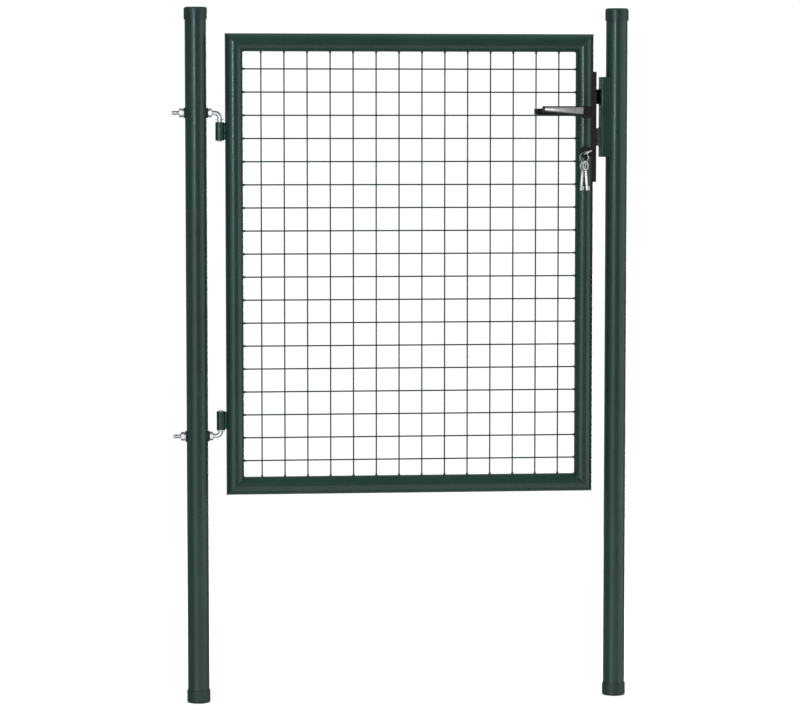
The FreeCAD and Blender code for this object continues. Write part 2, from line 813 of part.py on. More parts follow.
def rivet_holes(prefix, low_y, length):
    return [cylinder(f"{prefix}_rivet_{name}", rivet_d / 2, length, stile_x - rivet_back, low_y, z, "+y")
            for name, z in rivet_places()]


def make_case():
    """A tray that holds the works, open towards its cover, with the bolts' windows in its front."""
    block = box("case_block",
                (case_back_x, -case_half, case_z),
                (case_front_x, case_half - case_wall, case_z + case_height))
    space = box("case_space",
                (case_back_x + case_wall, case_wall - case_half, case_z + case_wall),
                (case_front_x - case_wall, case_half, case_z + case_height - case_wall))
    tools = [space] + bolt_windows("case", case_front_x - case_wall * 2, case_front_x + 1, window_gap)
    tools += shaft_holes("case", -case_half - 1, case_wall + 2)
    tools += rivet_holes("case", -case_half - 1, case_wall + 2)
    finished(cut("case", block, tools), "lock_case")
    plate = box("cover_block",
                (case_back_x, case_half - case_wall, case_z),
                (case_front_x, case_half, case_z + case_height))
    tools = shaft_holes("cover", case_half - case_wall - 1, case_wall + 2)
    tools += rivet_holes("cover", case_half - case_wall - 1, case_wall + 2)
    finished(cut("cover", plate, tools), "lock_case_cover")


make_case()
finished(group("rivets_group", [
    cylinder(f"rivet_{name}", rivet_d / 2, case_width, stile_x - rivet_back, -case_half, z, "+y")
    for name, z in rivet_places()]), "case_rivets")


def make_roses():
    """Round plates on the stile: pierced for the lever's neck, and for the key."""
    neck = lever_neck_d / 2 + rose_gap
    for label, side in (("front_rose", "-y"), ("rear_rose", "+y")):
        space = cylinder(label + "_stile", tube_d / 2, tube_d * 2, stile_x, ZERO, spindle_z - tube_d)
        plate = cylinder(label + "_plate", rose_d / 2, rose_y, stile_x, ZERO, spindle_z, side)
        hole = cylinder(label + "_hole", neck, rose_y * 2, stile_x, ZERO, spindle_z, side)
        outer = rose_y.value

        def is_rim(edge, middle):
            return all(abs(abs(y) - outer) < 0.01 for y in (edge.BoundBox.YMin, edge.BoundBox.YMax))

        eased = rounded(label + "_eased", plate, as_size(1.2), is_rim)
        finished(cut(label + "_cut", eased, [space, hole]), label)
    for label, side in (("front_key_rose", "-y"), ("rear_key_rose", "+y")):
        space = cylinder(label + "_stile", tube_d / 2, tube_d * 2, stile_x, ZERO, key_z - tube_d)
        plate = cylinder(label + "_plate", key_rose_d / 2, key_rose_y, stile_x, ZERO, key_z, side)
        hole = cylinder(label + "_hole", shank_d / 2 + keyhole_gap, key_rose_y * 2,
                        stile_x, ZERO, key_z, side)
        start = -key_rose_y * 2 if side == "-y" else ZERO
        slot = box(label + "_slot",
                   (stile_x - bit_wall / 2 - keyhole_gap, start, key_z - bit_reach - keyhole_gap),
                   (stile_x + bit_wall / 2 + keyhole_gap, start + key_rose_y * 2, key_z))
        finished(cut(label + "_cut", plate, [space, hole, slot]), label)


make_roses()


# ---------------------------------------------------------------- follower, spindle and levers

def make_follower():
    """The hub that the spindle turns, with a nose that draws the latch bolt back."""
    hub = cylinder("follower_hub", follower_d / 2, follower_width,
                   stile_x, -follower_width / 2, spindle_z, "+y")
    journal = cylinder("follower_journal", journal_d / 2, case_width, stile_x, -case_half, spindle_z, "+y")
    nose = doc.addObject("Part::Box", "follower_nose")
    bind(nose, {"Length": nose_width, "Width": nose_depth, "Height": nose_reach,
                "Placement.Rotation.Angle": nose_tilt})
    tilt = math.radians(nose_tilt.value)
    at(nose, stile_x - nose_width / 2 * math.cos(tilt), -nose_depth / 2,
       spindle_z + nose_width / 2 * math.sin(tilt), FreeCAD.Rotation(Y_AXIS, nose_tilt.value))
    side = spindle_side / 2 + spindle_gap
    hole = box("follower_square", (stile_x - side, -case_half, spindle_z - side),
               (stile_x + side, case_half, spindle_z + side))
    return finished(cut("follower_cut", joined("follower_blank", [hub, journal, nose]), [hole]), "follower")


make_follower()
half_side = spindle_side / 2
finished(box("spindle_bar", (stile_x - half_side, -spindle_length / 2, spindle_z - half_side),
             (stile_x + half_side, spindle_length / 2, spindle_z + half_side)), "spindle")


def make_lever(side_name, side, droop):
    """A grip with a straight upper edge and a lower edge that rises to the tip, on a round neck.

    It is drawn about the spindle's axis and then placed, with its face towards -Y or +Y.
    """
    name = side_name + "_lever"
    # The upper edge is tangent to the hub, and the lower edge runs up to a square tip.
    upper = lever_hub_d / 2
    body = new_body(name + "_grip")
    grip_profile = outline(body, name + "_profile", "XZ_Plane", [
        (0, upper), (-lever_length, upper), (-lever_length, upper - lever_tip_height),
        (-lever_hub_d / 2, upper - lever_root_height), (0, upper - lever_root_height)])
    # A sketch on XZ faces -Y, so its pad runs that way unless it is turned round.
    pad(body, name + "_bar", grip_profile, lever_thickness)
    at(body, ZERO, lever_thickness - lever_front_y, ZERO)
    hub = cylinder(name + "_hub", lever_hub_d / 2, lever_thickness, ZERO, -lever_front_y, ZERO, "+y")
    blank = joined(name + "_blank", [body, hub])
    front = -lever_front_y.value
    back = front + lever_thickness.value

    def is_outer(edge, middle):
        on_front = abs(edge.BoundBox.YMin - front) < 0.01 and abs(edge.BoundBox.YMax - front) < 0.01
        on_back = abs(edge.BoundBox.YMin - back) < 0.01 and abs(edge.BoundBox.YMax - back) < 0.01
        on_tip = edge.BoundBox.YLength > 10 and abs(middle.x + lever_length.value) < 0.01
        return on_front or on_back or on_tip

    eased = rounded(name + "_rounded", blank, lever_round, is_outer)
    neck_length = lever_front_y - lever_thickness - tube_d / 2 + 1
    neck = cylinder(name + "_neck", lever_neck_d / 2, neck_length + 1, ZERO,
                    -lever_front_y + lever_thickness - 1, ZERO, "+y")
    square = spindle_side / 2 + spindle_gap
    square_hole = box(name + "_square", (-square, -spindle_length / 2 - 0.5, -square), (square, ZERO, square))
    # The spindle stays upright when the lever droops, so its hole is turned back.
    hole = at(group(name + "_square_holder", [square_hole]), ZERO, ZERO, ZERO,
              FreeCAD.Rotation(Y_AXIS, droop))
    pocket = insert_block(name + "_pocket", insert_depth)
    grub_y = -tube_d / 2 - grub_offset
    grub_hole = cylinder(name + "_grub_hole", grub_d / 2, lever_neck_d, ZERO, grub_y, -lever_neck_d, "+z")
    whole = joined(name + "_whole", [eased, neck])
    pierced = cut(name + "_pierced", whole, [hole, pocket, grub_hole])
    insert = insert_block(name + "_insert_plate", insert_depth)
    grub = cylinder(name + "_grub", grub_d / 2, lever_neck_d / 2 - square - spindle_gap * 2,
                    ZERO, grub_y, -lever_neck_d / 2, "+z")
    placed = []
    for obj in (pierced, insert, grub):
        holder = group(obj.Name + "_holder", [obj])
        rotation = FreeCAD.Rotation(Y_AXIS, -droop)
        if side > 0:
            mirror = doc.addObject("Part::Mirroring", obj.Name + "_mirror")
            mirror.Source = holder
            mirror.Base = V(0, 0, 0)
            mirror.Normal = Y_AXIS
            holder = group(obj.Name + "_mirror_holder", [mirror])
        placed.append(at(holder, stile_x, ZERO, spindle_z, rotation))
    lever, plate, screw = placed
    finished(lever, name)
    finished(plate, name + "_insert")
    return screw


def insert_block(name, depth):
    """The bright plate let into a lever's face, or the pocket that it fills."""
    body = new_body(name)
    upper = lever_hub_d / 2 - insert_inset
    tip_low = lever_hub_d / 2 - lever_tip_height + insert_inset
    root_low = lever_hub_d / 2 - lever_root_height + insert_inset
    profile = outline(body, name + "_profile", "XZ_Plane", [
        (-lever_hub_d / 2, upper), (-insert_end - lever_hub_d / 2, upper),
        (-insert_end - lever_hub_d / 2, tip_low), (-lever_hub_d / 2, root_low)])
    pad(body, name + "_plate", profile, depth)
    at(body, ZERO, depth - lever_front_y, ZERO)
    return body


grubs = [make_lever("front", -1, 0), make_lever("rear", 1, rear_droop.value)]
finished(group("grubs_group", grubs), "lever_grub_screws")


# ---------------------------------------------------------------- latch bolt and dead bolt

def make_latch():
    """A bevelled head on a flat tail, with a lug that the follower's nose pulls on."""
    tip_x = forend_x + latch_throw + 0.5
    half = latch_width / 2
    head_back = case_front_x - case_wall - 4
    body = new_body("latch_head", z=latch_z)
    # The bevel is on the front side, so that closing the leaf from behind presses the head in.
    profile = outline(body, "latch_profile", "XY_Plane", [
        (head_back, -half), (forend_x + 1, -half), (tip_x, half - 3), (tip_x, half), (head_back, half)])
    pad(body, "latch_head_pad", profile, latch_height)
    tail = box("latch_tail", (latch_tail_x, -tail_width / 2, latch_z + 5),
               (head_back + 1, tail_width / 2, latch_z + latch_height - 5))
    lug = box("latch_lug_block", (latch_tail_x, -tail_width / 2, latch_lug_z),
              (latch_tail_x + latch_lug, tail_width / 2, latch_z + 6))
    return finished(joined("latch_whole", [body, tail, lug]), "latch_bolt")


make_latch()


def make_dead_bolt():
    """A plain block, with a notch in its lower flange where the key's bit moves it."""
    half = dead_width / 2
    tip_x = forend_x + dead_throw
    flange_z = key_z + bit_reach - notch_depth + notch_gap
    block = box("dead_block", (dead_tail_x, -half, dead_z), (tip_x, half, dead_z + dead_height))
    tip = tip_x.value

    def is_tip(edge, middle):
        return abs(middle.x - tip) < 0.01

    eased = rounded("dead_eased", block, as_size(1), is_tip)
    flange = box("dead_flange", (dead_tail_x, -tail_width / 2, flange_z),
                 (case_front_x - case_wall - dead_throw + flange_front, tail_width / 2, dead_z + 1))
    notch_x = stile_x + dead_throw / 2
    notch = box("dead_notch", (notch_x - notch_width / 2, -half, flange_z - 1),
                (notch_x + notch_width / 2, half, flange_z + notch_depth))
    return finished(cut("dead_cut", joined("dead_whole", [eased, flange]), [notch]), "dead_bolt")


make_dead_bolt()


def make_springs():
    """The torsion spring round the follower, and the strip that holds the dead bolt in place."""
    wire = spring_wire
    coil = doc.addObject("Part::Torus", "lever_spring_coil")
    bind(coil, {"Radius1": journal_d / 2 + wire * 2.4, "Radius2": wire})
    coil.Angle3 = 330
    at(coil, stile_x, follower_width / 2 + wire + 0.1, spindle_z, ALONG["+y"])
    finished(coil, "lever_spring")
    low = dead_z + dead_height + strip_gap
    strip = box("detent_strip",
                (case_back_x + case_wall, -strip_width / 2, low),
                (case_front_x - case_wall, strip_width / 2, low + strip_thickness))
    finished(strip, "detent_spring")


make_springs()


# ---------------------------------------------------------------- keys and ring

def make_key(name):
    """A bit key along -Y: its round tip at y = 0, its bow at the far end, its bit towards +X."""
    bow_radius = bow_width / 2
    bow_y = bow_radius - key_length
    half = bit_wall / 2
    shank = cylinder(name + "_shank", shank_d / 2, key_length - bow_width + 2, ZERO, ZERO, ZERO, "-y")
    disc = cylinder(name + "_bow", bow_radius, bit_wall, ZERO, bow_y, -half)
    bit = box(name + "_bit", (ZERO, -bit_length - 2, -half), (bit_reach, -2, half))
    hole = cylinder(name + "_bow_hole", bow_radius - bow_rim, shank_d * 2, ZERO, bow_y, -shank_d)
    return cut(name + "_whole", joined(name + "_blank", [shank, disc, bit]), [hole])


def leaning(angle, size):
    """The two parts of a length that leans at a fixed angle: along and across."""
    lean = math.radians(angle.value)
    return size * math.cos(lean), size * math.sin(lean)


key_turned = FreeCAD.Rotation(Y_AXIS, -key_angle.value)
finished(at(group("lock_key_group", [make_key("lock_key_blade")]), stile_x, key_tip_y, key_z, key_turned),
         "lock_key")

# The ring hangs on the lower side of the bow's rim, in an upright plane at an angle to the leaf.
rim_along, rim_down = leaning(key_angle, bow_width / 2 - bow_rim / 2)
rim_x = stile_x - rim_along
rim_y = key_tip_y + bow_width / 2 - key_length
rim_z = key_z - rim_down
ring_radius = (ring_d - ring_wire) / 2
ring_z = rim_z + ring_drop + ring_wire / 2 - ring_radius
twist = math.radians(ring_twist.value)
RING_ALONG = V(math.cos(twist), -math.sin(twist), 0)
RING_AXIS = V(math.sin(twist), math.cos(twist), 0)
ring = doc.addObject("Part::Torus", "ring_torus")
bind(ring, {"Radius1": ring_radius, "Radius2": ring_wire / 2})
finished(at(ring, rim_x, rim_y, ring_z, FreeCAD.Rotation(Z_AXIS, RING_AXIS)), "key_ring")


def make_spare_key(label, side):
    """A key hanging tip down from the ring, leaning a little to one side."""
    hang = FreeCAD.Rotation(RING_AXIS, V(0, 0, -1), -RING_ALONG, "XYZ")
    lean = FreeCAD.Rotation(RING_AXIS, -side * spare_tilt.value)
    eye = bow_width / 2 - bow_rim - ring_wire / 2 - 0.3
    # From the wire at the ring's foot down to the key's tip.
    drop = eye + key_length - bow_width / 2
    down, aside = leaning(spare_tilt, drop)
    along = (aside + spare_spread) * side
    holder = group(label + "_group", [make_key(label + "_blade")])
    at(holder, rim_x + along * RING_ALONG.x, rim_y + along * RING_ALONG.y,
       ring_z - ring_radius + 0.2 - down, lean * hang)
    return finished(holder, label)


make_spare_key("spare_key_a", -1)
make_spare_key("spare_key_b", 1)


# ---------------------------------------------------------------- check and write

doc.recompute()
for obj in doc.Objects:
    if "Invalid" in obj.State or "Error" in obj.State:
        raise RuntimeError(f"{obj.Name} did not build: {obj.State}")
for obj in sub_parts:
    if obj.Shape.isNull() or not obj.Shape.isValid() or not obj.Shape.Solids:
        raise RuntimeError(f"{obj.Label} is not a valid solid")

os.makedirs("parts", exist_ok=True)
for obj in sub_parts:
    obj.Shape.exportStep(f"parts/{obj.Label}.step")
    limits = obj.Shape.BoundBox
    print(f"{obj.Label:22s} {len(obj.Shape.Solids):3d} solids {obj.Shape.Volume:12.1f} mm3  "
          f"x {limits.XMin:8.2f} {limits.XMax:8.2f}  y {limits.YMin:7.2f} {limits.YMax:7.2f}  "
          f"z {limits.ZMin:8.2f} {limits.ZMax:8.2f}")
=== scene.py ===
import json
import math

import bmesh
import bpy
from mathutils import Matrix, Vector


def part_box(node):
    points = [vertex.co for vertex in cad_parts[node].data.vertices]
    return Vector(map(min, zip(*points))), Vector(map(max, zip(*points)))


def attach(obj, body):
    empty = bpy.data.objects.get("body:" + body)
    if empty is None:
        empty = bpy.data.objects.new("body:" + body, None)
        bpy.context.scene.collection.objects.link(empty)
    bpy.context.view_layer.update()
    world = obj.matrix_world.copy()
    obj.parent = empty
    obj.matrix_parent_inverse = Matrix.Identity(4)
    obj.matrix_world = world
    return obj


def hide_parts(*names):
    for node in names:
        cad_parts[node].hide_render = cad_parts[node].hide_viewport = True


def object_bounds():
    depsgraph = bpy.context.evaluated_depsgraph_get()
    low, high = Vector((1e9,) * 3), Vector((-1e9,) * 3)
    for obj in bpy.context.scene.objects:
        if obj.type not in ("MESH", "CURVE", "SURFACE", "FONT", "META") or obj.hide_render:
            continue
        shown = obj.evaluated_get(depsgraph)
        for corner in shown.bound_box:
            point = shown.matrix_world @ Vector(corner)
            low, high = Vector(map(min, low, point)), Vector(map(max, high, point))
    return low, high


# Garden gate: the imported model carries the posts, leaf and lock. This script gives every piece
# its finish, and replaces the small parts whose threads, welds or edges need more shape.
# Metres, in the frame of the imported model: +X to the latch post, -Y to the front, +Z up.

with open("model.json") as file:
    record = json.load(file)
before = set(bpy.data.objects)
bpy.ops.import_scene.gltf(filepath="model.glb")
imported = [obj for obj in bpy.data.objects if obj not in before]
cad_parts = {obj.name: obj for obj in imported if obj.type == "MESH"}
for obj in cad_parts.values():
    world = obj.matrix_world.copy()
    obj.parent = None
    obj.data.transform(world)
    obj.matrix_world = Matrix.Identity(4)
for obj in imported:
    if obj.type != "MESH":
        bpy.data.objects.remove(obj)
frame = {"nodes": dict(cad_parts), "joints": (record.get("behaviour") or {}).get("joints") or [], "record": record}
cad_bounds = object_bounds()
nodes = frame["nodes"]
joints = {joint["name"]: joint for joint in frame["joints"]}

MM = 0.001
X = Vector((1, 0, 0))
Y = Vector((0, 1, 0))
Z = Vector((0, 0, 1))


# ---------------------------------------------------------------- materials

class Finish:
    """A node material in the making: one shader, and noise that varies its colour and relief."""

    def __init__(self, name, metallic=0.0, specular=0.5, coat=0.0, coat_roughness=0.1):
        self.material = bpy.data.materials.new(name)
        self.material.use_nodes = True
        self.tree = self.material.node_tree
        self.shader = self.tree.nodes["Principled BSDF"]
        self.shader.inputs["Metallic"].default_value = metallic
        self.shader.inputs["Specular IOR Level"].default_value = specular
        self.shader.inputs["Coat Weight"].default_value = coat
        self.shader.inputs["Coat Roughness"].default_value = coat_roughness
        self.place = self.tree.nodes.new("ShaderNodeTexCoord").outputs["Object"]
        self.relief = None

    def link(self, source, target):
        self.tree.links.new(source, target)

    def noise(self, scale, detail=3.0, stretch=(1, 1, 1), roughness=0.55):
        """Noise with features about 1 / scale metres across, longer where stretch is small."""
        node = self.tree.nodes.new("ShaderNodeTexNoise")
        node.inputs["Scale"].default_value = scale
        node.inputs["Detail"].default_value = detail
        node.inputs["Roughness"].default_value = roughness
        mapping = self.tree.nodes.new("ShaderNodeMapping")
        mapping.inputs["Scale"].default_value = stretch
        self.link(self.place, mapping.inputs["Vector"])
        self.link(mapping.outputs["Vector"], node.inputs["Vector"])
        return node.outputs["Fac"]

    def cells(self, scale):
        node = self.tree.nodes.new("ShaderNodeTexVoronoi")
        node.inputs["Scale"].default_value = scale
        self.link(self.place, node.inputs["Vector"])
        return node.outputs["Color"]

    def spread(self, value, low, high, start=0.3, end=0.7):
        """Map a value's range from start to end onto low to high."""
        node = self.tree.nodes.new("ShaderNodeMapRange")
        node.inputs["From Min"].default_value = start
        node.inputs["From Max"].default_value = end
        node.inputs["To Min"].default_value = low
        node.inputs["To Max"].default_value = high
        self.link(value, node.inputs["Value"])
        return node.outputs["Result"]

    def tint(self, value, first, second, start=0.3, end=0.7):
        """Colour the surface from first to second as the value goes from start to end."""
        ramp = self.tree.nodes.new("ShaderNodeValToRGB")
        ramp.color_ramp.elements[0].position = start
        ramp.color_ramp.elements[0].color = (*first, 1)
        ramp.color_ramp.elements[1].position = end
        ramp.color_ramp.elements[1].color = (*second, 1)
        self.link(value, ramp.inputs["Fac"])
        return ramp.outputs["Color"]

    def colour(self, source):
        self.link(source, self.shader.inputs["Base Color"])

    def roughness(self, value, low, high):
        self.link(self.spread(value, low, high), self.shader.inputs["Roughness"])

    def bump(self, value, height, strength=1.0):
        """Relief of a height in metres, on top of any relief there already."""
        node = self.tree.nodes.new("ShaderNodeBump")
        node.inputs["Strength"].default_value = strength
        node.inputs["Distance"].default_value = height
        self.link(value, node.inputs["Height"])
        if self.relief:
            self.link(self.relief, node.inputs["Normal"])
        self.relief = node.outputs["Normal"]
        self.link(self.relief, self.shader.inputs["Normal"])


def blended(finish, first, second, value, low=0.45, high=0.6):
    """One colour over another, where the value is high."""
    mix = finish.tree.nodes.new("ShaderNodeMix")
    mix.data_type = "RGBA"
    finish.link(finish.spread(value, 0, 1, low, high), mix.inputs["Factor"])
    finish.link(first, mix.inputs["A"])
    finish.link(second, mix.inputs["B"])
    return mix.outputs["Result"]


def powder_coat(name, deep, pale, gloss=(0.24, 0.34), coat=0.3, sheen=(0.9, 1.0, 0.95)):
    """Glossy powder coat: faint orange peel, slow colour drift and a little dust.

    gloss is the range of roughness, and sheen the colour of its reflections.
    """
    finish = Finish(name, specular=0.4, coat=coat, coat_roughness=0.13)
    finish.shader.inputs["Specular Tint"].default_value = (*sheen, 1)
    drift = finish.noise(9, detail=4)
    dust = finish.noise(420, detail=6, roughness=0.7)
    body = finish.tint(drift, deep, pale)
    dusty = finish.tint(dust, deep, tuple(value * 1.35 + 0.003 for value in pale), 0.35, 0.8)
    finish.colour(blended(finish, body, dusty, finish.noise(55, detail=5), 0.5, 0.8))
    finish.roughness(finish.noise(30, detail=3), *gloss)
    finish.bump(finish.noise(700, detail=2), 0.000005)
    finish.bump(finish.noise(60, detail=2), 0.00003, 0.4)
    return finish.material


def moulded(name, deep, pale, gloss):
    """Moulded plastic: fine spark-eroded grain and rubbed patches."""
    finish = Finish(name, specular=0.4)
    finish.colour(finish.tint(finish.noise(45, detail=5), deep, pale))
    finish.roughness(finish.noise(30, detail=5), *gloss)
    finish.bump(finish.noise(2600, detail=2), 0.00003)
    finish.bump(finish.noise(120, detail=2), 0.00015, 0.4)
    return finish.material


def zinc_plate(name):
    """Bright zinc: a cloudy, faintly crystalline plate."""
    finish = Finish(name, metallic=1.0)
    clouds = finish.tint(finish.noise(160, detail=6), (0.7, 0.69, 0.7), (0.88, 0.87, 0.88))
    grains = finish.tint(finish.cells(700), (0.74, 0.73, 0.75), (0.86, 0.85, 0.87))
    finish.colour(blended(finish, clouds, grains, finish.noise(80, detail=3), 0.3, 0.7))
    finish.roughness(finish.noise(220, detail=5), 0.26, 0.42)
    finish.bump(finish.noise(1500, detail=3), 0.00003)
    return finish.material


def bright_plate(name, deep, pale, gloss, stretch):
    """Polished plate with hairline scratches along one direction."""
    finish = Finish(name, metallic=1.0)
    finish.colour(finish.tint(finish.noise(70, detail=5), deep, pale))
    finish.roughness(finish.noise(900, detail=4, stretch=stretch), *gloss)
    finish.bump(finish.noise(1400, detail=3, stretch=stretch), 0.000002)
    return finish.material


def rolled_steel(name):
    finish = Finish(name, metallic=1.0)
    finish.colour(finish.tint(finish.noise(120, detail=6), (0.1, 0.1, 0.105), (0.2, 0.2, 0.205)))
    finish.roughness(finish.noise(1100, detail=3, stretch=(0.15, 1, 1)), 0.26, 0.42)
    finish.bump(finish.noise(1300, detail=3, stretch=(0.1, 1, 1)), 0.00002)
    return finish.material


def floor_finish(name):
    finish = Finish(name, specular=0.2)
    finish.colour(finish.tint(finish.noise(3, detail=6), (0.84, 0.84, 0.84), (0.9, 0.9, 0.9)))
    finish.roughness(finish.noise(8, detail=4), 0.7, 0.9)
    finish.bump(finish.noise(300, detail=3), 0.0002)
    return finish.material


DEEP_GREEN = (0.005, 0.0225, 0.0165)
PALE_GREEN = (0.008, 0.0305, 0.0225)
finishes = {
    "green_coat_posts": powder_coat("green_powder_coat_posts", DEEP_GREEN, PALE_GREEN,
                                    gloss=(0.26, 0.38), coat=0.2),
    "green_coat": powder_coat("green_powder_coat_leaf", DEEP_GREEN, PALE_GREEN),
    "green_wire": powder_coat("green_wire_coat", (0.006, 0.018, 0.014), (0.011, 0.028, 0.022),
                              gloss=(0.35, 0.5)),
    "cap_plastic": moulded("green_cap_plastic", (0.006, 0.02, 0.0165), (0.011, 0.03, 0.025),
                           gloss=(0.27, 0.4)),
    "zinc": zinc_plate("zinc_plate"),
    "black_plastic": moulded("black_plastic", (0.004, 0.004, 0.0045), (0.009, 0.0085, 0.009),
                             gloss=(0.24, 0.38)),
    "black_coat": powder_coat("black_coat", (0.007, 0.005, 0.0055), (0.012, 0.009, 0.0095),
                              gloss=(0.28, 0.4), coat=0.1, sheen=(1, 1, 1)),
    "chrome": bright_plate("chrome_plate", (0.72, 0.72, 0.74), (0.86, 0.86, 0.88),
                           gloss=(0.12, 0.22), stretch=(0.08, 1, 1)),
    "steel": rolled_steel("rolled_steel"),
    "nickel": bright_plate("nickel_plate", (0.76, 0.77, 0.79), (0.9, 0.91, 0.93),
                           gloss=(0.24, 0.38), stretch=(1, 1, 0.1)),
}

for node_slot in frame["record"]["subparts"]:
    node = nodes[node_slot["node"]]
    node.data.materials.clear()
    node.data.materials.append(finishes[node_slot["material_slot"]])


# ---------------------------------------------------------------- mesh tools

SMOOTH_ANGLE = math.radians(35)


def add_piece(name, mesh, slot, body, replaced=()):
    """Link a mesh as a piece that rides on a body and takes a slot's finish."""
    mesh.materials.append(finishes[slot])
    piece = bpy.data.objects.new(name, mesh)
    bpy.context.scene.collection.objects.link(piece)
    for polygon in mesh.polygons:
        polygon.use_smooth = True
    mesh.set_sharp_from_angle(angle=SMOOTH_ANGLE)
    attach(piece, body)
    if replaced:
        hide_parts(*replaced)
    return piece


def mesh_from(name, build):
    """A mesh filled by a function that adds to a bmesh."""
    work = bmesh.new()
    build(work)
    bmesh.ops.recalc_face_normals(work, faces=work.faces)
    mesh = bpy.data.meshes.new(name)
    work.to_mesh(mesh)
    work.free()
    return mesh


def side_vectors(direction):
    """Two directions across a tube that runs along direction."""
    across = direction.cross(Y)
    if across.length < 0.1:
        across = direction.cross(X)
    across.normalize()
    return across, across.cross(direction).normalized()


def sweep(work, path, radius_at, segments=24, closed=False, flatten=1.0):
    """A round tube along a path. radius_at(step, angle) gives each point's radius.

    The cross-section's axes are carried along the path, so the tube doesn't twist.
    """
    count = len(path)
    rings = []
    across = None
    for step, point in enumerate(path):
        before = path[step - 1] if step > 0 or closed else path[step]
        after = path[(step + 1) % count] if step < count - 1 or closed else path[step]
        direction = (after - before).normalized()
        if across is None:
            across, up = side_vectors(direction)
        else:
            across = (across - direction * across.dot(direction)).normalized()
            up = across.cross(direction).normalized()
        ring = []
        for side in range(segments):
            angle = math.tau * side / segments
            radius = radius_at(step, angle)
            offset = across * math.cos(angle) * radius + up * math.sin(angle) * radius * flatten
            ring.append(work.verts.new(point + offset))
        rings.append(ring)
    joins = count if closed else count - 1
    for step in range(joins):
        ring, following = rings[step], rings[(step + 1) % count]
        for side in range(segments):
            nxt = (side + 1) % segments
            work.faces.new((ring[side], ring[nxt], following[nxt], following[side]))
    if not closed:
        work.faces.new(rings[0])
        work.faces.new(rings[-1])


def lathe(work, profile, origin, axis, segments=32):
    """Turn (radius, height) points about an axis. A closed ring if no point is on the axis."""
    across, up = side_vectors(axis)
    rings = []
    for radius, height in profile:
        centre = origin + axis * height
        if radius == 0:
            rings.append([work.verts.new(centre)])
            continue
        rings.append([work.verts.new(centre + (across * math.cos(a) + up * math.sin(a)) * radius)
                      for a in (math.tau * side / segments for side in range(segments))])
    pairs = list(zip(rings, rings[1:]))
    if profile[0][0] > 0 and profile[-1][0] > 0:
        pairs.append((rings[-1], rings[0]))
    for ring, following in pairs:
        for side in range(segments):
            nxt = (side + 1) % segments
            corners = [ring[side % len(ring)], ring[nxt % len(ring)],
                       following[nxt % len(following)], following[side % len(following)]]
            unique = list(dict.fromkeys(corners))
            if len(unique) > 2:
                work.faces.new(unique)


def line(start, end, count):
    return [start.lerp(end, step / (count - 1)) for step in range(count)]


def arc(centre, first, second, radius, start, end, count):
    """Points on a circle, its angle measured from the first direction towards the second."""
    points = []
    for step in range(count):
        angle = start + (end - start) * step / (count - 1)
        points.append(centre + (first * math.cos(angle) + second * math.sin(angle)) * radius)
    return points


def moved(work, matrix, build):
    """Build something in its own place, then move only that by a matrix."""
    before = set(work.verts)
    build(work)
    fresh = [vertex for vertex in work.verts if vertex not in before]
    bmesh.ops.transform(work, matrix=matrix, verts=fresh)


# ---------------------------------------------------------------- hinge hooks

ROD_RADIUS = 5 * MM
BEND_RADIUS = 11 * MM
THREAD_PITCH = 1.5 * MM
THREAD_DEPTH = 0.9 * MM
THREAD_CHAMFER = 1.3 * MM
THREAD_STEPS = 8
RUN_OUT_TURNS = 2
SADDLE_RADIUS = 11 * MM
COLLAR_RADIUS = 9 * MM


def hook(label, direction):
    """A rod with a rolled thread, bent up or down into the hinge pin, with its collar."""
    low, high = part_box(label)
    lowest_saddle, highest_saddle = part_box("saddle_washers")
    sleeve_low, sleeve_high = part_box(label.replace("hook", "sleeve"))
    pin = Vector(joints["leaf_swing"]["pos_m"])
    thread_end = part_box("hook_nuts")[1].x + 2 * MM
    if direction > 0:
        rod_z = lowest_saddle.z + SADDLE_RADIUS
        pin_end = high.z
        collar_z = sleeve_low.z - 1.1 * MM
    else:
        rod_z = highest_saddle.z - SADDLE_RADIUS
        pin_end = low.z
        collar_z = sleeve_high.z + 5 * MM

    def thread(work):
        count = int((thread_end - low.x) / THREAD_PITCH * THREAD_STEPS) + 1
        path = line(Vector((low.x, 0, rod_z)), Vector((thread_end, 0, rod_z)), count)

        def radius_at(step, angle):
            turns = step / THREAD_STEPS
            turns_left = (count - 1 - step) / THREAD_STEPS
            ridge = abs(2 * ((turns - angle / math.tau) % 1.0) - 1)
            depth = THREAD_DEPTH * min(1.0, (1 - ridge) * 1.6)
            chamfer = max(0.0, THREAD_CHAMFER - turns * THREAD_PITCH)
            return ROD_RADIUS - max(depth * min(1.0, turns_left / RUN_OUT_TURNS), chamfer)

        sweep(work, path, radius_at, segments=28)

    def shank(work):
        centre = Vector((pin.x - BEND_RADIUS, 0, rod_z + direction * BEND_RADIUS))
        path = line(Vector((thread_end - 1 * MM, 0, rod_z)), Vector((centre.x, 0, rod_z)), 3)
        path += arc(centre, -Z * direction, X, BEND_RADIUS, math.radians(6), math.pi / 2, 16)
        tip = Vector((pin.x, 0, pin_end))
        path += line(path[-1], tip, 8)[1:-1]
        path += [tip - Z * direction * 1.2 * MM, tip - Z * direction * 0.4 * MM, tip]
        rounding = {len(path) - 1: 1.3 * MM, len(path) - 2: 0.45 * MM}
        sweep(work, path, lambda step, angle: ROD_RADIUS - rounding.get(step, 0.0), segments=32)

    def collar(work):
        half = 1 * MM
        edge = 0.45 * MM
        inner = ROD_RADIUS - 0.3 * MM
        lathe(work, [(inner, -half), (COLLAR_RADIUS - edge, -half), (COLLAR_RADIUS, edge - half),
                     (COLLAR_RADIUS, half - edge), (COLLAR_RADIUS - edge, half), (inner, half)],
              Vector((pin.x, 0, collar_z)), Z, 40)

    def build(work):
        thread(work)
        shank(work)
        collar(work)

    add_piece(label + "_detail", mesh_from(label, build), "zinc", "posts", [label])


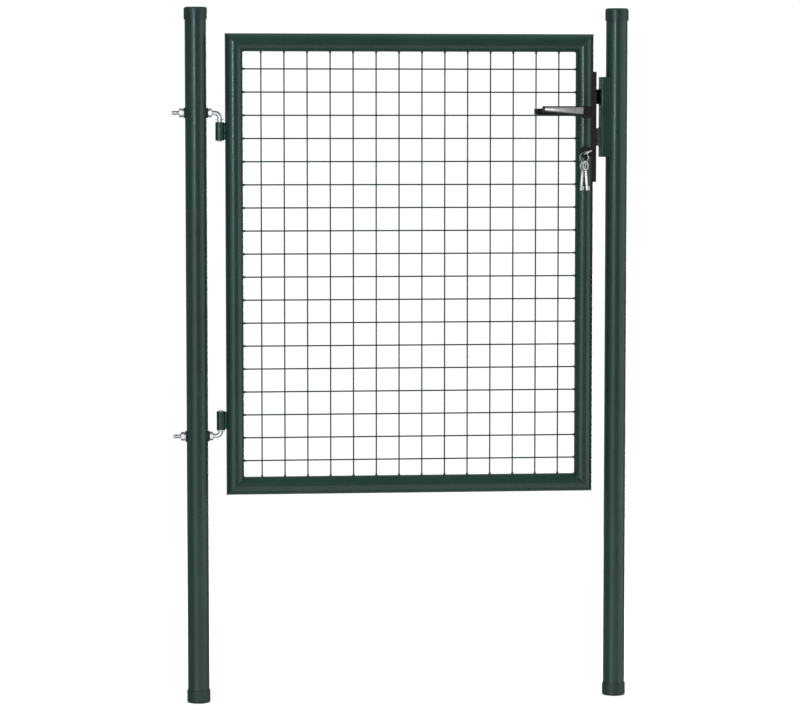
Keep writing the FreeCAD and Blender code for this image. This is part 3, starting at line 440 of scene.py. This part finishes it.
hook("upper_hinge_hook", -1)
hook("lower_hinge_hook", 1)


# ---------------------------------------------------------------- welds

tube_radius = (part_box("top_rail")[1].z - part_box("top_rail")[0].z) / 2
leaf_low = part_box("bottom_rail")[0]
leaf_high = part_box("top_rail")[1]


def ripple(work, path, radius, scale_length=2.2 * MM):
    """A weld bead: overlapping scales along a seam, tapered at its ends."""
    lengths = [0.0]
    for start, end in zip(path, path[1:]):
        lengths.append(lengths[-1] + (end - start).length)

    def radius_at(step, angle):
        along = lengths[step]
        from_end = min(along, lengths[-1] - along)
        taper = min(1.0, from_end / radius * 0.7 + 0.35)
        scale = math.sin(math.pi * ((along / scale_length) % 1.0))
        return radius * taper * (0.86 + 0.14 * scale)

    sweep(work, path, radius_at, segments=12, flatten=0.8)


def sleeve_seams(work):
    """A bead down each side of the web that holds a sleeve to the stile."""
    seam_y, from_end = 3.5 * MM, 1.6 * MM
    for label in ("upper_hinge_sleeve", "lower_hinge_sleeve"):
        low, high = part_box(label)
        seam_x = (high.x + leaf_low.x) / 2
        for side in (-1, 1):
            ripple(work, line(Vector((seam_x, side * seam_y, low.z + from_end)),
                              Vector((seam_x, side * seam_y, high.z - from_end)), 80), 2.4 * MM)


add_piece("sleeve_weld_beads", mesh_from("sleeve_seams", sleeve_seams), "green_coat", "leaf")


def strike_welds(work):
    """Three short beads down each side of the strike, where it meets the post."""
    low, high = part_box("strike_box")
    seam_x, seam_y, half = high.x + 0.2 * MM, 19.9 * MM, 12 * MM
    for side in (-1, 1):
        for part_way in (0.12, 0.5, 0.88):
            centre_z = low.z + (high.z - low.z) * part_way
            ripple(work, line(Vector((seam_x, side * seam_y, centre_z - half)),
                              Vector((seam_x, side * seam_y, centre_z + half)), 60), 1.6 * MM)


add_piece("strike_weld_beads", mesh_from("strike_welds", strike_welds), "green_coat_posts", "posts",
          ["strike_welds"])


def corner_welds(work):
    """A smooth dressed bead round each mitre, and a small fillet in its inner corner."""
    for side, corner_x in ((1, leaf_low.x + tube_radius), (-1, leaf_high.x - tube_radius)):
        for up, corner_z in ((1, leaf_low.z + tube_radius), (-1, leaf_high.z - tube_radius)):
            centre = Vector((corner_x, 0, corner_z))
            inward = Vector((side, 0, up))

            def on_mitre(angle):
                return (centre + inward * tube_radius * math.cos(angle)
                        + Y * tube_radius * math.sin(angle))

            seam = [on_mitre(math.tau * step / 96) for step in range(96)]
            sweep(work, seam, lambda step, angle: 0.55 * MM, segments=8, closed=True)
            fillet = [on_mitre(math.radians(degrees)) for degrees in range(-56, 57, 8)]
            ripple(work, fillet, 2.4 * MM, scale_length=2.5 * MM)


add_piece("corner_weld_beads", mesh_from("corner_welds", corner_welds), "green_coat", "leaf",
          ["corner_welds"])

MESH_PITCH = 50 * MM
MESH_COLUMNS, MESH_ROWS = 14, 18
WIRE_COAT = 0.3 * MM  # the coat that thickens the mesh's wires


def mesh_crossings(work):
    """The squeezed metal where each upright wire is welded to each level one."""
    nugget_radius = 2.5 * MM
    first_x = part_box("vertical_wires")[0].x + nugget_radius
    first_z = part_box("horizontal_wires")[0].z + nugget_radius
    flat = Matrix.Diagonal((2.1 * MM, 1.3 * MM, 2.1 * MM, 1))
    for column in range(MESH_COLUMNS):
        for row in range(MESH_ROWS):
            centre = Vector((first_x + MESH_PITCH * column, 0, first_z + MESH_PITCH * row))
            bmesh.ops.create_icosphere(work, subdivisions=1, radius=1,
                                       matrix=Matrix.Translation(centre) @ flat)


add_piece("mesh_crossing_welds", mesh_from("mesh_crossings", mesh_crossings), "green_wire", "leaf")

for label in ("vertical_wires", "horizontal_wires"):
    coat = nodes[label].modifiers.new("coat", "DISPLACE")
    coat.strength = WIRE_COAT
    coat.mid_level = 0


# ---------------------------------------------------------------- keys and ring

KEY_LENGTH = 66 * MM
KEY_ANGLE = math.radians(28)
SPARE_LEAN = math.radians(5)
BOW_RADIUS = 10.8 * MM
EYE_RADIUS = 7.8 * MM
# The stem's distance from the tip and its radius, then the bit's outline, in mm.
KEY_STEM = [(0, 0), (0.7, 2.1), (1.4, 2.75), (2.2, 3.0), (10, 3.0), (10.4, 2.5), (11.4, 2.5),
            (11.8, 3.0), (38, 2.8), (38.5, 3.4), (39.6, 3.5), (40.2, 2.9), (41.2, 2.9),
            (41.8, 3.4), (43, 3.3), (44, 2.4), (45.6, 1.0), (45.8, 0)]
KEY_BIT = [(2.0, -2.0), (9.3, -2.0), (9.3, -4.2), (7.4, -4.2), (7.4, -5.6), (9.3, -5.6),
           (9.3, -10.0), (6.2, -10.0), (6.2, -8.4), (4.9, -8.4), (4.9, -10.0), (2.0, -10.0)]
BIT_HALF_THICKNESS = 0.95 * MM


def key_form(work):
    """A bit key along -Y with its tip at the origin, its bit towards +X and its bow at the end."""
    stem = [(radius * MM, height * MM) for height, radius in KEY_STEM]
    lathe(work, stem, Vector((0, 0, 0)), -Y, 28)
    half = 1.0 * MM
    edge = 0.35 * MM
    lathe(work, [(EYE_RADIUS, edge - half), (EYE_RADIUS + edge, -half), (BOW_RADIUS - edge, -half),
                 (BOW_RADIUS, edge - half), (BOW_RADIUS, half - edge), (BOW_RADIUS - edge, half),
                 (EYE_RADIUS + edge, half), (EYE_RADIUS, half - edge)],
          Vector((0, BOW_RADIUS - KEY_LENGTH, 0)), Z, 56)
    lower, upper = ([work.verts.new((x * MM, y * MM, side * BIT_HALF_THICKNESS)) for x, y in KEY_BIT]
                    for side in (-1, 1))
    work.faces.new(lower)
    work.faces.new(upper)
    for index in range(len(KEY_BIT)):
        nxt = (index + 1) % len(KEY_BIT)
        work.faces.new((lower[index], lower[nxt], upper[nxt], upper[index]))


def add_key(node, body, matrix):
    mesh = mesh_from(node, lambda work: moved(work, matrix, key_form))
    add_piece(node + "_detail", mesh, "nickel", body, [node])


key_pivot = Vector(joints["key_turn"]["pos_m"])
key_tip = Vector((key_pivot.x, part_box("lock_key")[1].y, key_pivot.z))
add_key("lock_key", "key", Matrix.Translation(key_tip) @ Matrix.Rotation(-KEY_ANGLE, 4, "Y"))

RING_RADIUS = 11.1 * MM
RING_GAUGE = 0.44 * MM
ring_centre = sum(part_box("key_ring"), Vector()) / 2
ring_along = -Vector(joints["spare_key_a_swing"]["axis"]).normalized()
ring_axis = Vector((-ring_along.y, ring_along.x, 0))


def split_ring(work):
    """Two turns of wire side by side, with the step where one crosses over to the other."""
    turns, steps, cross_over = 2, 144, 12
    path = []
    for step in range(steps + 1):
        angle = math.tau * turns * step / steps + math.radians(200)
        shift = RING_GAUGE * max(-1.0, min(1.0, (step / steps - 0.5) * cross_over))
        path.append(ring_centre + (ring_along * math.cos(angle) + Z * math.sin(angle)) * RING_RADIUS
                    + ring_axis * shift)
    sweep(work, path, lambda step, angle: RING_GAUGE, segments=12)


add_piece("key_ring_detail", mesh_from("key_ring", split_ring), "nickel", "ring", ["key_ring"])


def spare_key(node, body, joint, side):
    """Hang a key from the ring's foot, tip down, leaning a little along the ring."""
    pivot = Vector(joints[joint]["pos_m"])
    # From the pivot to the bow's centre, and from there to the tip, less a little slack.
    drop = 6.6 * MM + KEY_LENGTH - BOW_RADIUS
    down = drop * math.cos(SPARE_LEAN) - 0.2 * MM
    tip = pivot + ring_along * side * drop * math.sin(SPARE_LEAN) - Z * down
    axes = Matrix((ring_axis, -Z, -ring_along)).transposed().to_4x4()
    turn = Matrix.Rotation(-side * SPARE_LEAN, 4, ring_axis)
    add_key(node, body, Matrix.Translation(tip) @ turn @ axes)


spare_key("spare_key_a", "spare_a", "spare_key_a_swing", -1)
spare_key("spare_key_b", "spare_b", "spare_key_b_swing", 1)


# ---------------------------------------------------------------- bright plates in the levers

def lever_plate(work):
    """The plate in a lever's face, about the spindle's axis: a shallow dome on a flat back."""
    root_x, tip_x = -13 * MM, -97 * MM
    top_z, root_z, tip_z = 10.8 * MM, -4.3 * MM, 2.2 * MM
    face_y, back_y = -68 * MM, -66.6 * MM
    sag_across, sag_along = 0.5 * MM, 0.6 * MM
    along_count, across_count = 60, 14
    front, back = [], []
    for step in range(along_count + 1):
        along = step / along_count
        bottom_z = root_z + (tip_z - root_z) * along
        x = root_x + (tip_x - root_x) * along
        dip = sag_along * (2 * along - 1) ** 2
        column, rear = [], []
        for row in range(across_count + 1):
            across = 2 * row / across_count - 1
            z = bottom_z + (top_z - bottom_z) * row / across_count
            column.append(work.verts.new((x, face_y + dip + sag_across * across * across, z)))
            rear.append(work.verts.new((x, back_y, z)))
        front.append(column)
        back.append(rear)
    for step in range(along_count):
        for row in range(across_count):
            for sheet in (front, back):
                work.faces.new((sheet[step][row], sheet[step + 1][row],
                                sheet[step + 1][row + 1], sheet[step][row + 1]))
        for row in (0, across_count):
            work.faces.new((front[step][row], front[step + 1][row],
                            back[step + 1][row], back[step][row]))
    for step in (0, along_count):
        for row in range(across_count):
            work.faces.new((front[step][row], front[step][row + 1],
                            back[step][row + 1], back[step][row]))


# The rear lever is the front one mirrored, and it droops a little.
REAR_DROOP = math.radians(3)
spindle = Matrix.Translation(joints["lever_turn"]["pos_m"])
to_the_rear = Matrix.Rotation(-REAR_DROOP, 4, "Y") @ Matrix.Diagonal((1, -1, 1, 1))
for label, turn in (("front_lever_insert", Matrix()), ("rear_lever_insert", to_the_rear)):
    plate = mesh_from(label, lambda work: moved(work, spindle @ turn, lever_plate))
    add_piece(label + "_detail", plate, "chrome", "handle", [label])


# ---------------------------------------------------------------- edges of the pressed parts

for label, width in (("strike_box", 0.5), ("lock_forend", 0.4), ("front_rose", 0.3),
                     ("rear_rose", 0.3), ("front_key_rose", 1.0), ("rear_key_rose", 1.0)):
    bevel = nodes[label].modifiers.new("soft_edges", "BEVEL")
    bevel.width = width * MM
    bevel.segments = 2
    bevel.limit_method = "ANGLE"
    bevel.angle_limit = math.radians(30)
    bevel.harden_normals = False


# ---------------------------------------------------------------- studio and camera

middle = (cad_bounds[0] + cad_bounds[1]) / 2


def stage_floor():
    """A pale floor, with white beyond it."""
    radius, sides = 2.7, 96
    rim = []
    for side in range(sides):
        angle = math.tau * side / sides
        rim.append((middle.x + radius * math.cos(angle), radius * math.sin(angle), 0))
    mesh = bpy.data.meshes.new("floor")
    mesh.from_pydata(rim, [], [tuple(range(sides))])
    mesh.materials.append(floor_finish("pale_floor"))
    floor = bpy.data.objects.new("floor", mesh)
    bpy.context.scene.collection.objects.link(floor)
    # The gate doesn't mirror the floor, and the tall light reaches below it.
    floor.visible_glossy = False
    floor.visible_shadow = False


stage_floor()


def soft_light(name, place, target, size, power, colour, mirrored=True):
    """A rectangular light of a size in metres and a power in watts, unseen by the camera."""
    data = bpy.data.lights.new(name, "AREA")
    data.shape = "RECTANGLE"
    data.size, data.size_y = size
    data.energy = power
    data.color = colour
    lamp = bpy.data.objects.new(name, data)
    bpy.context.scene.collection.objects.link(lamp)
    lamp.location = place
    lamp.rotation_euler = (Vector(target) - Vector(place)).to_track_quat("-Z", "Y").to_euler()
    lamp.visible_camera = False
    lamp.visible_glossy = mirrored
    return lamp


def lights_only(lamp, *names):
    """Keep a light for the named pieces."""
    lit = bpy.data.collections.new(lamp.name + "_pieces")
    for name in names:
        lit.objects.link(bpy.data.objects[name])
    lamp.light_linking.receiver_collection = lit


# A wide panel to the left draws the broad soft line down each tube, with a slim strip that
# brightens it near the top, and a panel to the right draws the paler side. The ground card gives
# the level rails their paler underside. The last two cards light only the bright metal.
soft_light("left_panel", (-2.4, -4.2, 0.5), (middle.x, 0, 0.5), (3.8, 4.8), 50, (0.96, 0.99, 1.0))
soft_light("high_strip", (-1.7, -5.0, 2.3), (middle.x, 0, 1.3), (0.42, 2.4), 88, (0.72, 0.92, 1.0))
soft_light("side_panel", (4.2, -1.5, 1.0), (middle.x, 0, 0.9), (5.0, 4.0), 62, (1, 0.98, 0.94))
soft_light("ground_card", (middle.x, -1.35, -0.5), (middle.x, -0.4, 1.0), (2.2, 2.2), 9, (1, 1, 1))
soft_light("back_strip", (2.4, 5.2, 1.0), (middle.x, 0, 0.8), (0.8, 3.0), 60, (1, 1, 1))
soft_light("top", (middle.x, 0.6, 5.2), (middle.x, 0.6, 0), (6.0, 5.0), 500, (1, 1, 1),
           mirrored=False)
lever_card = soft_light("lever_card", (1.02, -4.4, 1.3), (0.84, 0, 1.28), (0.45, 1.7), 4.2,
                        (1, 1, 1))
metal_card = soft_light("metal_card", (0.55, -4.4, 1.0), (0.45, 0, 1.0), (1.8, 1.6), 15,
                        (1, 0.99, 1))
lights_only(lever_card, "front_lever_insert_detail")
lights_only(metal_card, "upper_hinge_hook_detail", "lower_hinge_hook_detail", "hook_nuts",
            "hook_washers", "lock_key_detail", "key_ring_detail", "spare_key_a_detail",
            "spare_key_b_detail")

# White behind the gate, and a dim room for its surfaces to mirror.
MIRRORED_ROOM = 0.24
SEEN_ROOM = 1.05
world = bpy.data.worlds.new("studio")
world.use_nodes = True
bpy.context.scene.world = world
world_nodes = world.node_tree.nodes
light_path = world_nodes.new("ShaderNodeLightPath")
strength = world_nodes.new("ShaderNodeMapRange")
strength.inputs["To Min"].default_value = MIRRORED_ROOM
strength.inputs["To Max"].default_value = SEEN_ROOM
world.node_tree.links.new(light_path.outputs["Is Camera Ray"], strength.inputs["Value"])
world.node_tree.links.new(strength.outputs["Result"], world_nodes["Background"].inputs["Strength"])
world_nodes["Background"].inputs["Color"].default_value = (1, 1, 1, 1)


def photo_camera():
    """The photograph's view: a long lens, a little to the left, looking slightly down."""
    yaw, pitch = math.radians(5.684), math.radians(4.412)
    data = bpy.data.cameras.new("camera")
    data.sensor_width = 36
    data.lens = 137.05
    data.clip_end = 100
    camera = bpy.data.objects.new("camera", data)
    bpy.context.scene.collection.objects.link(camera)
    camera.location = (-0.2145, -6.6, 1.2694)
    forward = Vector((math.sin(yaw) * math.cos(pitch), math.cos(yaw) * math.cos(pitch),
                      -math.sin(pitch)))
    camera.rotation_euler = forward.to_track_quat("-Z", "Y").to_euler()
    bpy.context.scene.camera = camera


photo_camera()
bpy.context.scene.view_settings.view_transform = "Standard"
